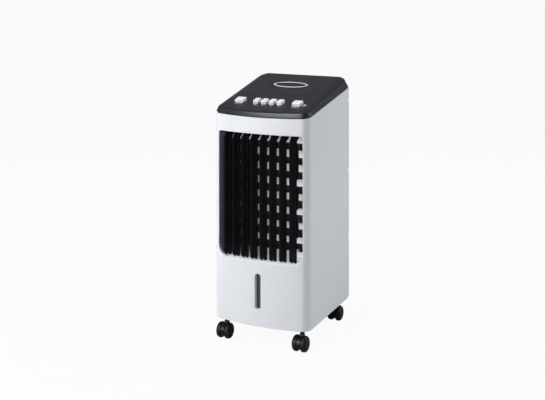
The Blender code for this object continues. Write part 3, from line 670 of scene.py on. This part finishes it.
def key_cap(half, dish):
    """Moulded key with a soft upper edge and a dished top, standing on the lid's plane."""
    fillet, steps = 1.7, 5
    profile = [(0.0, -KEY_SINK), (0.0, KEY_RISE - fillet)]
    for i in range(1, steps + 1):
        angle = math.pi / 2 * i / steps
        profile.append((fillet * (1 - math.cos(angle)), KEY_RISE - fillet * (1 - math.sin(angle))))
    profile += [(fillet + 1.4, KEY_RISE - dish * 0.35), (fillet + 3.0, KEY_RISE - dish)]
    rings = []
    for depth, z in profile:
        corner = max(2.5 - depth, 0.5)
        plan = rounded(depth - half, half - depth, depth - KEY_DEPTH_HALF, KEY_DEPTH_HALF - depth,
                       corner, corner)
        rings.append([(x, y, z) for x, y in plan])
    return loft(rings)


def make_keys():
    small = meshed(key_cap(KEY_HALF, 0.12))
    large = meshed(shifted(key_cap(ROCKER_HALF, 0.25), z=-ROCKER_PIVOT))
    for i, x in enumerate(key_places()):
        at = DATUM + Vector((x, KEY_Y, lid_top(KEY_Y))) * MM
        show(f"key_cap_{i + 1}", small, KEY, f"key_{i + 1}", [f"key_{i + 1}"], at,
             (LID_TILT, 0, 0))
    for side in ("left", "right"):
        show(f"rocker_cap_{side}", large, KEY, f"rocker_{side}", [f"rocker_{side}"],
             PIVOTS[f"rocker_{side}_rock"], (LID_TILT, 0, 0))


def make_level_window():
    """Recessed slot with pale walls, and a tinted window with a raised scale at its bottom."""
    def stadium(grow):
        corner = SLOT_HALF + grow - 0.1
        return rounded(-SLOT_HALF - grow, SLOT_HALF + grow, SLOT_LOW - grow, SLOT_HIGH + grow,
                       corner, corner, 10)

    wall, margin, scale_front, scale_back = 1.9, 1.2, -6.5, -6.0
    bore, mouth = prism(stadium(-0.5), -14, -5.2, "Y"), prism(stadium(-2.2), -6, -1, "Y")
    cup = meshed(prism(stadium(wall), -12.2, -3.0, "Y"), cut=(bore, mouth))
    show("level_bezel", cup, BEZEL, "cabinet", ["level_window"], bevel=0.3)
    pane = prism(stadium(-0.9), -6.2, -5.4, "Y")
    left = margin - SLOT_HALF
    ribs = [box(left, left + 3, scale_front, scale_back, z - 0.3, z + 0.3) for z in range(46, 110, 8)]
    ribs += [box(left, -left, scale_front, scale_back, z - 0.4, z + 0.4) for z in (44, 108)]
    show("level_pane", meshed(pane, join=(together(ribs),)), WINDOW, "cabinet", bevel=0.15)


# ---------------------------------------------------------------- vanes and louvres

def make_vanes():
    blade = [(-15, 150), (-11, 145.8), (-7.6, 144.3), (-6.4, 147.3), (-4.8, 147.3), (-3.6, 144.3),
             (3.6, 144.3), (3.6, 411), (9, 418)]
    blade += arc(7.5, 432.5, 1.5, 0, 90, 3) + [(-3, 434), (-9, 425), (-15, 410)]
    plate = prism(blade, -0.9, 0.9, "X")
    spine = cylinder(1.5, 141.3, 443, 16)
    peg = cylinder(1.2, 433, 437.4, 16, at=(0, LINK_ARM, 0))
    mesh = meshed(plate, join=(spine, peg))
    for i in range(8):
        pivot = PIVOTS[f"vane_{i + 1}_swing"]
        show(f"vane_blade_{i + 1}", mesh, BLACK, f"vane_{i + 1}", [f"vane_{i + 1}"],
             Vector((pivot.x, pivot.y, DATUM.z)), (0, 0, VANE_REST), bevel=0.45)


def louvre_section(half_chord=15.0, half_thick=1.05, steps=7):
    """Lens section with blunt edges."""
    upper = []
    for i in range(steps + 1):
        u = -1 + 2 * i / steps
        upper.append((half_chord * u, 0.4 + (half_thick - 0.4) * (1 - u * u)))
    return [(y, -z) for y, z in upper] + upper[::-1]


def make_louvres():
    ends = cylinder(1.5, -LOUVRE_HALF - 3.9, -LOUVRE_HALF + 3, 16, "X")
    other = cylinder(1.5, LOUVRE_HALF - 3, LOUVRE_HALF + 3.9, 16, "X")
    rib = cylinder(1.35, 2 - LOUVRE_HALF, LOUVRE_HALF - 2, 12, "X")
    notch = prism(rounded(BAR_X - 3.5, BAR_X + 3.5, -20, -4.6, 0.3, 2.0), -5, 5)
    blade = prism(louvre_section(), -LOUVRE_HALF, LOUVRE_HALF, "X")
    plain = meshed(blade, join=(ends, other, rib), cut=(notch,))
    pin = bmesh.new()
    pin.from_mesh(plain)
    pin.transform(Matrix.Scale(1 / MM, 4))
    pinned = meshed(pin, join=(cylinder(0.9, BAR_X - 6, BAR_X + 6, 12, "X", at=(0, -LOUVRE_PIN, 0)),))
    for i in range(8):
        show(f"louvre_blade_{i + 1}", plain if i == 7 else pinned, BLACK, f"louvre_{i + 1}",
             [f"louvre_{i + 1}"], PIVOTS[f"louvre_{i + 1}_tilt"], (LOUVRE_REST, 0, 0), bevel=0.25)
    for name, (first, last, above, below) in BAR_GROUPS.items():
        span = (last - first) * LOUVRE_PITCH
        bar = prism(rounded(-3.4, 3.4, -span - below, above, 3.0, 3.0), -2.0, 2.0, "X")
        holes = [cylinder(1.4, -4, 4, 16, "X", at=(0, 0, -LOUVRE_PITCH * k)) for k in range(last - first + 1)]
        show(f"louvre_bar_{name}", meshed(bar, cut=(together(holes),)), BLACK, f"louvre_link_{name}",
             [f"louvre_link_{name}"], PIVOTS[f"louvre_link_{name}_turn"], bevel=0.4)


# ---------------------------------------------------------------- air path and water

def make_rotor():
    """Drum rotor: three discs that carry two rows of thin curved blades."""
    blades, inner, chord, camber, set_back, half_thick = 30, ROTOR_RADIUS - 10, 9, 3.4, 1.6, 0.45
    disc_heights, disc_thick, disc_edge = (152.0, 287.0, 422.0), 2.5, 0.6
    row_low, row_high, steps = 153.5, 423.0, 5
    along = [i / steps for i in range(steps + 1)]
    curve = [(inner + chord * t, camber * math.sin(math.pi * t) - set_back) for t in along]
    outline = [(x, y + half_thick) for x, y in curve] + [(x, y - half_thick) for x, y in reversed(curve)]
    rows = [moved(prism(outline, row_low, row_high), Matrix.Rotation(math.tau * i / blades, 4, "Z"))
            for i in range(blades)]
    discs = []
    for z in disc_heights:
        rim_points = [(ROTOR_RADIUS - disc_edge, z), (ROTOR_RADIUS, z + disc_edge),
                      (ROTOR_RADIUS, z + disc_thick - disc_edge), (ROTOR_RADIUS - disc_edge, z + disc_thick)]
        discs.append(turned([(0, z), *rim_points, (0, z + disc_thick)], 60))
    shafts = [cylinder(3.0, 144.2, row_low - 0.5, 20), cylinder(3.0, row_high + 0.5, 440.0, 20)]
    pivot = PIVOTS["blower_spin"]
    drum = meshed(together(discs), join=(together(rows), together(shafts)))
    show("blower_drum", drum, BLACK, "blower_rotor", ["blower_rotor"],
         Vector((pivot.x, pivot.y, DATUM.z)))


def make_pad():
    """Cooling pad: fluted paper sheets side by side, their flutes leaning up and down in turn."""
    low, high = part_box("cooling_pad")
    low, high = (low - DATUM) / MM, (high - DATUM) / MM
    pitch, swing, wave = 6.4, 2.7, 13.0
    count = int((high.x - low.x - 2 * swing) / pitch)
    start = (low.x + high.x - count * pitch) / 2
    rows, columns = 96, 8
    bm = bmesh.new()
    for sheet_index in range(count + 1):
        lean = math.tau / wave * (0.75 if sheet_index % 2 else -0.75)
        grid = []
        for r in range(rows + 1):
            z = low.z + (high.z - low.z) * r / rows
            line = []
            for c in range(columns + 1):
                y = low.y + 0.5 + (high.y - low.y - 1.0) * c / columns
                x = start + sheet_index * pitch + swing * math.sin(math.tau / wave * z + lean * y)
                line.append(bm.verts.new((x, y, z)))
            grid.append(line)
        for near, far in zip(grid, grid[1:]):
            for c in range(columns):
                bm.faces.new((near[c], near[c + 1], far[c + 1], far[c]))
    pad = show("pad_flutes", meshed(bm), PAPER, "cabinet", ["cooling_pad"], sharp=70.0)
    paper = pad.modifiers.new("paper", "SOLIDIFY")
    paper.thickness = 0.35 * MM
    paper.offset = 0.0


def make_filter():
    """Air filter: a slotted frame over a fine two-layer mesh."""
    frame_low, frame_high, front, back = 150.5, 478.0, 244.0, 248.8
    panel_wide, panel_tall, lefts, lows = 100.7, 151, (-103.7, 3.0), (160.3, 317.2)
    rows, columns, bar, slot_corner = 23, 2, 1.7, 1.6
    pitch_z, pitch_x = panel_tall / rows, panel_wide / columns
    plate = prism(rounded(-113.4, 113.4, frame_low, frame_high, 5, 5), front, back, "Y")
    slots, recesses = [], []
    for x0, z0 in ((x, z) for x in lefts for z in lows):
        recesses.append(box(x0, x0 + panel_wide, front - 4, front + 2.6, z0, z0 + panel_tall))
        for r, c in ((r, c) for r in range(rows) for c in range(columns)):
            slot = rounded(x0 + c * pitch_x + bar, x0 + (c + 1) * pitch_x - bar,
                           z0 + r * pitch_z + bar / 2, z0 + (r + 1) * pitch_z - bar / 2,
                           slot_corner, slot_corner, 2)
            slots.append(prism(slot, front + 2, back + 3.2, "Y"))
    grips = [prism(rounded(s * 60 - 13, s * 60 + 13, 467.5, 475.0, 3, 3), 247.4, 252, "Y") for s in (-1, 1)]
    mesh = meshed(plate, cut=(together(recesses), together(slots), together(grips)))
    show("filter_grille", mesh, WHITE, "air_filter", ["filter_frame"], bevel=0.3)

    low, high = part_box("filter_mesh")
    low, high = (low - DATUM) / MM, (high - DATUM) / MM
    thread, pitch = 0.22, 2.0
    middle = (low.y + high.y) / 2
    wide, tall = int((high.x - low.x - 4) / pitch), int((high.z - low.z - 4) / pitch)
    threads = [box(low.x + 1, high.x - 1, middle - 2 * thread, middle, z - thread, z + thread)
               for z in (low.z + 2 + pitch * i for i in range(tall + 1))]
    threads += [box(x - thread, x + thread, middle, middle + 2 * thread, low.z + 1, high.z - 1)
                for x in (low.x + 2 + pitch * i for i in range(wide + 1))]
    show("filter_weave", filter_hem(low, high, middle), MESH, "air_filter", ["filter_mesh"],
         bevel=0.1)
    show("filter_threads", meshed(together(threads)), MESH, "air_filter")


def filter_hem(low, high, middle):
    """Flat hem round the filter's mesh."""
    hem = prism(rounded(low.x, high.x, low.z, high.z, 2, 2), low.y, high.y, "Y")
    opening = rounded(low.x + 3.5, high.x - 3.5, low.z + 3.5, high.z - 3.5, 1, 1)
    hole = prism(opening, middle - 5, middle + 5, "Y")
    return meshed(hem, cut=(hole,))


TANK_FACE, TANK_BACK = 242, 248.8


def make_tank():
    """Open tank behind a panel with a grip, grooves and a seat for the latch."""
    floor, brim, face, back = 19, 136, TANK_FACE, TANK_BACK
    body = prism(rounded(-103, 103, 6, face + 0.6, 9, 2), floor, brim)
    panel = prism(rounded(-113.2, 113.2, 3.5, 138, 8, 3), face, back, "Y")
    rim_band = prism(rounded(-104.4, 104.4, 4.6, face + 0.4, 10, 2), brim - 4.5, brim)
    water = prism(rounded(-100.6, 100.6, 8.4, face - 2.4, 7, 3), floor + 2.4, brim + 14)
    grip = prism(rounded(-42, 42, 56, 88, 12, 5), back - 4.2, back + 3.2, "Y")
    finger = prism(rounded(-34, 34, 70, 86, 4, 3), face + 1.2, face + 4, "Y")
    latch_seat = box(-6.5, 24.5, back - 3.4, back + 3.2, 120, 150)
    grooves = [prism(rounded(-92, 92, z - 0.8, z + 0.8, 0.7, 0.7, 3), back - 0.6, back + 3.2, "Y")
               for z in (18, 24, 30)]
    mesh = meshed(body, join=(rim_band, panel), cut=(water, grip, finger, latch_seat, together(grooves)))
    show("tank_body", mesh, TANK, "water_tank", ["water_tank"], bevel=0.6)


def make_pump():
    """Pump in the tank's corner, with intake slots and a riser."""
    left, right, front, rear, top = 52, 96, 192, 236, 62
    slot_half, slot_low, slot_high = 1.2, 26, 44
    casing = prism(rounded(left, right, front, rear, 6, 6), 22.0, top)
    cap = prism(rounded(left + 3, right - 3, front + 3, rear - 3, 5, 5), top - 1, top + 4)
    riser = cylinder(4.0, top - 2, 137.5, 20, at=(88, 214, 0))
    collar = cylinder(5.6, top - 2, top + 10, 20, at=(88, 214, 0))
    intake = [box(left - 1, left + 2, y - slot_half, y + slot_half, slot_low, slot_high)
              for y in range(front + 7, rear - 4, 5)]
    intake += [box(x - slot_half, x + slot_half, front - 1, front + 2, slot_low, slot_high)
               for x in range(left + 7, right - 4, 5)]
    pump = meshed(casing, join=(cap, collar, riser), cut=(together(intake),))
    show("pump_body", pump, BLACK, "water_tank", ["water_pump"], bevel=0.4)


def make_latch(height=144.7):
    """Turning lever that holds the tank in place."""
    lever = prism(rounded(-5.2, 21, -3.6, 3.6, 3.5, 3.5), -1.9, 0.0, "Y")
    grip_rib = prism(rounded(6, 19, -1.4, 1.4, 1.3, 1.3), -2.9, -1.0, "Y")
    boss = cylinder(3.4, -2.9, -1.0, 24, "Y")
    spindle = cylinder(2.0, -6.5, -1.5, 20, "Y")
    latch = meshed(shifted(lever, y=-1.0), join=(grip_rib, boss, spindle))
    show("latch_lever", latch, SLATE, "tank_latch", ["tank_latch"],
         at=DATUM + Vector((0, TANK_BACK, height)) * MM, bevel=0.3)


def make_cord():
    """Supply cord folded into one hank in the recess under the lid, and its plug."""
    cord_x, cord_z, flat, top, foot, inner = 97.0, 489.0, 245.6, 498.6, 482.4, 492.6
    plug_y, plug_z, prong_gap = 245.4, 490.5, 4.6
    run = [(cord_x, 231, cord_z), (cord_x, flat, cord_z), (88, flat, top), (-76, flat, top),
           (-86, flat, (top + foot) / 2), (-76, flat, foot), (66, flat, foot),
           (74, flat, (foot + inner) / 2), (66, flat, inner), (-40, flat, inner)]
    section = rounded(-3.0, 3.0, -4.4, 4.4, 2.4, 2.4)
    waists = ((-66, 0.8), (-65, 0.95), (-58, 1.0), (-50, 0.86), (-46, 0.86), (-40, 0.62), (-36, 0.55))
    plug = loft([[(x, y * k + plug_y, z * k + plug_z) for y, z in section] for x, k in waists])
    prongs = [cylinder(1.6, -75, -65, 16, "X", at=(0, plug_y, plug_z + s * prong_gap / 2)) for s in (-1, 1)]
    grommet = cylinder(3.3, 236, 243.6, 20, "Y", at=(cord_x, 0, cord_z))
    mesh = meshed(tube(rounded_path(run, 4.5), 2.6), join=(plug, together(prongs), grommet))
    show("cord_hank", mesh, CORD, "cabinet", ["power_cord"], sharp=45.0)


def make_screws():
    """Two cross head screws at the rear, which share one mesh."""
    head = turned([(0, 0), (1.6, -0.05), (2.6, -0.35), (3.2, -1.0), (3.2, -1.8), (0, -1.8)], 28, "Y")
    cross = [box(-1.9, 1.9, -0.8, 1, -0.4, 0.4), box(-0.4, 0.4, -0.8, 1, -1.9, 1.9)]
    screw = meshed(head, cut=cross)
    for side in ("left", "right"):
        node = f"rear_screw_{side}"
        low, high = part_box(node)
        at = Vector(((low.x + high.x) / 2, high.y, (low.z + high.z) / 2))
        show(f"screw_head_{side}", screw, STEEL, "cabinet", [node], at, bevel=0.1)


# ---------------------------------------------------------------- castors

def make_castors():
    """Twin wheel castors: a body plate on a waisted neck, between two wheels with crowned sides."""
    def around(radius, start, end, steps):
        return arc(-CASTOR_TRAIL, -AXLE_DROP, radius, start, end, steps)

    plate = prism(around(FORK_RADIUS, -35, 215, 40) + around(6.5, 225, 315, 10), -FORK_HALF, FORK_HALF, "X")
    saddle = prism([(4.8, -11.5), (-6.0, -11.5), (-7.6, -13.6), (-8.5, -15.8), (-8.5, -21), (3.5, -23),
                    (5.5, -19.5)], -FORK_HALF, FORK_HALF, "X")
    stem = turned([(0, -12.8), (4.6, -12.8), (5.0, -12.2), (4.7, -9.5), (4.6, -7.5), (4.8, -5.5), (5.5, -3.6),
                   (6.3, -2.6), (6.6, -2.0), (6.6, -1.2), (4.0, -1.2), (4.0, 11.5), (0, 11.5)], 32)
    axle_hole = cylinder(3.7, -6, 6, 24, "X", at=(0, -CASTOR_TRAIL, -AXLE_DROP))
    fork = meshed(plate, join=(saddle, stem), cut=(axle_hole,))

    hub = [(0, 16.5), (3.4, 16.5), (4.0, 17.1), (5.0, 17.1), (5.6, 16.7)]
    side = [(6.4, 16.7), (7.2, 17.2), (8.6, 17.3), (10.6, 17.1), (12.6, 16.5), (14.4, 15.6), (15.8, 14.4)]
    tread = [(16.8, 13.0), (17.3, 11.6), (17.5, 10.2), (17.5, 7.2), (17.1, 5.9), (16.3, 4.8), (15.2, 4.4)]
    half = hub + side + tread + [(3.0, 4.4)]
    wheel = meshed(turned([(a, -b) for a, b in half] + [(a, b) for a, b in reversed(half)], 64, "X"))
    for corner, turn in (("fl", 0), ("fr", 0), ("rl", math.pi), ("rr", math.pi)):
        pivot, axle = PIVOTS[f"castor_{corner}_swivel"], PIVOTS[f"castor_{corner}_roll"]
        fork_node, wheel_node = f"castor_{corner}_fork", f"castor_{corner}_wheels"
        show(f"castor_{corner}_body", fork, BLACK, fork_node, [fork_node],
             Vector((pivot.x, pivot.y, DATUM.z)), (0, 0, turn), bevel=0.5, sharp=40)
        show(f"castor_{corner}_twin", wheel, WHEEL, wheel_node, [wheel_node], axle, sharp=60)


# ---------------------------------------------------------------- setting

FLOOR_SIZE, FLOOR_DROP, FLOOR_GLOW = 40.0, 0.0005, 0.94
CAMERA_AT, CAMERA_AZIMUTH, CAMERA_LENS, CAMERA_SHIFT = Vector((0.943, -1.968, 0.810)), 24.9, 64.72, -0.4394


def make_world():
    """Cool soft light all round that weakens towards the front right, behind a plain white backdrop."""
    world = bpy.data.worlds.new("studio")
    bpy.context.scene.world = world
    world.use_nodes = True
    nodes = Nodes(world.node_tree)
    ambient = world.node_tree.nodes["Background"]
    ambient.inputs["Color"].default_value = (0.93, 0.96, 1.0, 1.0)
    where = nodes.add("ShaderNodeTexCoord").outputs["Generated"]
    dark_side = nodes.add("ShaderNodeVectorMath", {0: where, 1: (0.64, -0.77, 0.0)}, operation="DOT_PRODUCT")
    strength = nodes.between(dark_side.outputs["Value"], 0.28, 0.02, 0.35, 0.95)
    world.node_tree.links.new(strength, ambient.inputs["Strength"])
    backdrop = nodes.add("ShaderNodeBackground", {"Color": (1.0, 1.0, 1.0, 1.0), "Strength": 1.0})
    seen = nodes.add("ShaderNodeLightPath").outputs["Is Camera Ray"]
    mixed = nodes.add("ShaderNodeMixShader", {0: seen, 1: ambient.outputs[0], 2: backdrop.outputs[0]})
    output = world.node_tree.nodes["World Output"]
    world.node_tree.links.new(mixed.outputs[0], output.inputs["Surface"])


def make_floor():
    """Wide matt floor that looks almost white and keeps a faint trace of shadow."""
    mesh = bpy.data.meshes.new("floor")
    bm = bmesh.new()
    bmesh.ops.create_grid(bm, x_segments=1, y_segments=1, size=FLOOR_SIZE)
    bm.to_mesh(mesh)
    bm.free()
    floor = bpy.data.objects.new("floor", mesh)
    bpy.context.scene.collection.objects.link(floor)
    floor.location.z = CAD_LOW.z - FLOOR_DROP

    pale = bpy.data.materials.new("pale_floor")
    pale.use_nodes = True
    nodes = Nodes(pale.node_tree)
    diffuse = pale.node_tree.nodes["Principled BSDF"]
    diffuse.inputs["Base Color"].default_value = (0.62, 0.62, 0.63, 1.0)
    diffuse.inputs["Roughness"].default_value = 0.9
    diffuse.inputs["Specular IOR Level"].default_value = 0.0
    glow = nodes.add("ShaderNodeEmission", {"Color": (1.0, 1.0, 1.0, 1.0), "Strength": 1.0})
    seen = nodes.add("ShaderNodeLightPath").outputs["Is Camera Ray"]
    share = nodes.add("ShaderNodeMath", {0: seen, 1: FLOOR_GLOW}, operation="MULTIPLY").outputs[0]
    mixed = nodes.add("ShaderNodeMixShader", {0: share, 1: diffuse.outputs[0], 2: glow.outputs[0]})
    output = pale.node_tree.nodes["Material Output"]
    pale.node_tree.links.new(mixed.outputs[0], output.inputs["Surface"])
    mesh.materials.append(pale)


def area(name, azimuth, elevation, distance, size, power, colour=(1, 1, 1)):
    """Area light aimed at the cabinet's middle. Azimuth 0 is the front and 90 the cabinet's +X side."""
    data = bpy.data.lights.new(name, "AREA")
    data.energy, data.size, data.color = power, size, colour
    light = bpy.data.objects.new(name, data)
    bpy.context.scene.collection.objects.link(light)
    a, e = math.radians(azimuth), math.radians(elevation)
    away = Vector((math.sin(a) * math.cos(e), -math.cos(a) * math.cos(e), math.sin(e)))
    light.location = (CAD_LOW + CAD_HIGH) / 2 + away * distance
    light.rotation_euler = away.to_track_quat("Z", "Y").to_euler()
    return light


def make_lights():
    """Broad studio lights, one that only gives a sheen, and one that only reaches behind the vanes."""
    area("key", -40, 28, 2.6, 1.8, 58.5).visible_glossy = False
    area("rear_side", 118, 22, 2.6, 1.6, 27.5, (0.95, 0.98, 1.0))
    area("top", 10, 80, 2.4, 1.4, 13)
    area("sheen", -12, 23, 2.4, 0.9, 86).visible_diffuse = False
    lit_inside = bpy.data.collections.new("lit_inside")
    for node in ("air_duct", "louvre_frame"):
        lit_inside.objects.link(frame["nodes"][node])
    area("inside", 26, 17, 2.6, 0.7, 60).light_linking.receiver_collection = lit_inside


def make_camera():
    """Level camera with a lowered frame."""
    scene = bpy.context.scene
    scene.view_settings.view_transform = "Standard"
    data = bpy.data.cameras.new("camera")
    data.sensor_width, data.lens = 36.0, CAMERA_LENS
    data.clip_end = 100.0
    camera = bpy.data.objects.new("camera", data)
    scene.collection.objects.link(camera)
    camera.location = DATUM + CAMERA_AT
    camera.rotation_euler = (math.pi / 2, 0, math.radians(CAMERA_AZIMUTH))
    lower_frame(camera, CAMERA_SHIFT)
    scene.camera = camera


def lower_frame(camera, shift):
    """Lower the frame without tilting the camera, and only while the camera stands where it is now."""
    driver = camera.data.driver_add("shift_y").driver
    driver.type = "SCRIPTED"
    variable = driver.variables.new()
    variable.name = "x"
    variable.type = "TRANSFORMS"
    target = variable.targets[0]
    target.id = camera
    target.transform_type = "LOC_X"
    target.transform_space = "WORLD_SPACE"
    driver.expression = f"{shift} if abs(x - {camera.location.x:.4f}) < 0.001 else 0.0"


# ---------------------------------------------------------------- the whole object

make_casing()
make_lid()
make_badge()
make_marks()
make_keys()
make_level_window()
make_vanes()
make_louvres()
make_rotor()
make_pad()
make_filter()
make_tank()
make_pump()
make_latch()
make_cord()
make_screws()
make_castors()
for node, finish, edge_width in (
        ("base", WHITE, 0.4), ("rear_frame", WHITE, 0.4), ("air_duct", WHITE, 0.3),
        ("louvre_frame", SLATE, 0.4), ("vane_link", BLACK, 0.3), ("swing_crank", STEEL, 0.3),
        ("swing_motor", STEEL, 0.5), ("fan_motor", STEEL, 0.6), ("rotor_bearing", STEEL, 0.3),
        ("switch_block", BLACK, 0.6), ("water_distributor", WHITE, 0.3), ("water_hose", HOSE, 0.05)):
    keep(node, finish, edge_width)
make_world()
make_floor()
make_lights()
make_camera()
